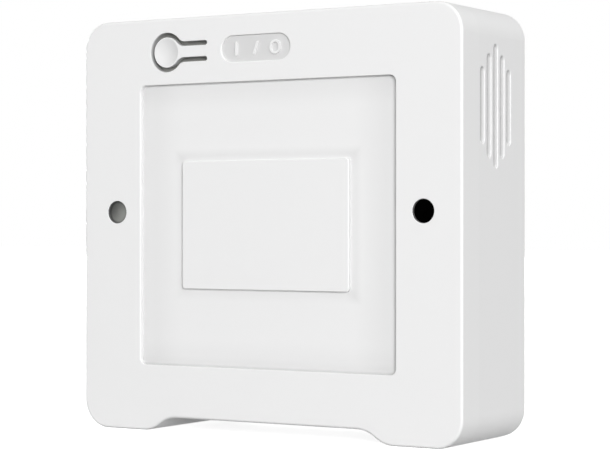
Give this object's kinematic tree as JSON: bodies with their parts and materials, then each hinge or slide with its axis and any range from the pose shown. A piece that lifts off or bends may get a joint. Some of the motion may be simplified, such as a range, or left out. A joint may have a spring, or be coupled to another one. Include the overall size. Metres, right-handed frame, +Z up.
{
  "type": "air quality monitor",
  "caption": "Flat white indoor air quality monitor on moulded feet, with a sprung on and off button, a light guide, a sensor window, side vents and a battery bay behind a rear door.",
  "frame": {"origin": "on the ground between the feet, at the middle of the width and depth", "axes": "+X to the right of someone facing the front, +Y from the front face to the rear, +Z up"},
  "size_m": [0.1, 0.0312, 0.0954],
  "materials": {
    "case": "fine satin moulded white",
    "light_guide": "smoky grey, satin",
    "window": "glossy black tint",
    "seal": "grey silicone",
    "circuit_board": "green solder mask over glass cloth",
    "screw": "nickel plated",
    "black_moulding": "matt epoxy",
    "led": "clear over phosphor",
    "tinned_steel": "tinned",
    "ceramic": "fired",
    "ferrite": "sintered",
    "gold": "gold plated",
    "gilt_plastic": "gold plated moulding",
    "membrane": "fine felt",
    "label": "blank satin film",
    "cell": "printed sleeve, bare"
  },
  "bodies": {
    "case": {"front_cover": "case", "button_seal": "seal", "info_plate": "case", "light_guide": "light_guide", "sensor_window": "window", "main_board": "circuit_board", "board_screws": "screw", "switch_body": "black_moulding", "status_led": "led", "light_sensor": "black_moulding", "microcontroller": "black_moulding", "radio_board": "circuit_board", "radio_shield": "tinned_steel", "chip_antenna": "ceramic", "power_inductor": "ferrite", "capacitors": "ceramic", "humidity_sensor": "black_moulding", "voc_sensor": "tinned_steel", "co2_board": "circuit_board", "co2_pins": "gold", "co2_chamber": "gilt_plastic", "co2_membrane": "membrane", "rear_housing": "case", "case_screws": "screw", "vent_filter_left": "membrane", "vent_filter_right": "membrane", "rating_label": "label", "lower_cell": "cell", "upper_cell": "cell", "bridge_contact": "tinned_steel", "positive_contact": "tinned_steel", "negative_contact": "tinned_steel", "contact_springs": "tinned_steel"},
    "button": {"button_tongue": "case"},
    "plunger": {"switch_plunger": "black_moulding"},
    "door": {"battery_door": "case"}
  },
  "joints": [
    {"name": "button_press", "type": "hinge", "parent": "case", "child": "button", "pos_m": [-0.0157, -0.01485, 0.08755], "axis": [0, 0, -1], "range_deg": [0, 1.5], "stiffness_Nm_per_rad": 0.5},
    {"name": "plunger_travel", "type": "slide", "parent": "case", "child": "plunger", "axis": [0, 1, 0], "range_m": [0, 0.00028]},
    {"name": "door_pull", "type": "slide", "parent": "case", "child": "door", "axis": [0, 1, 0], "range_m": [0, 0.02]}
  ],
  "couplings": [
    {"joint": "button_press", "follows": "plunger_travel", "rad_per_m": 93.458}
  ]
}
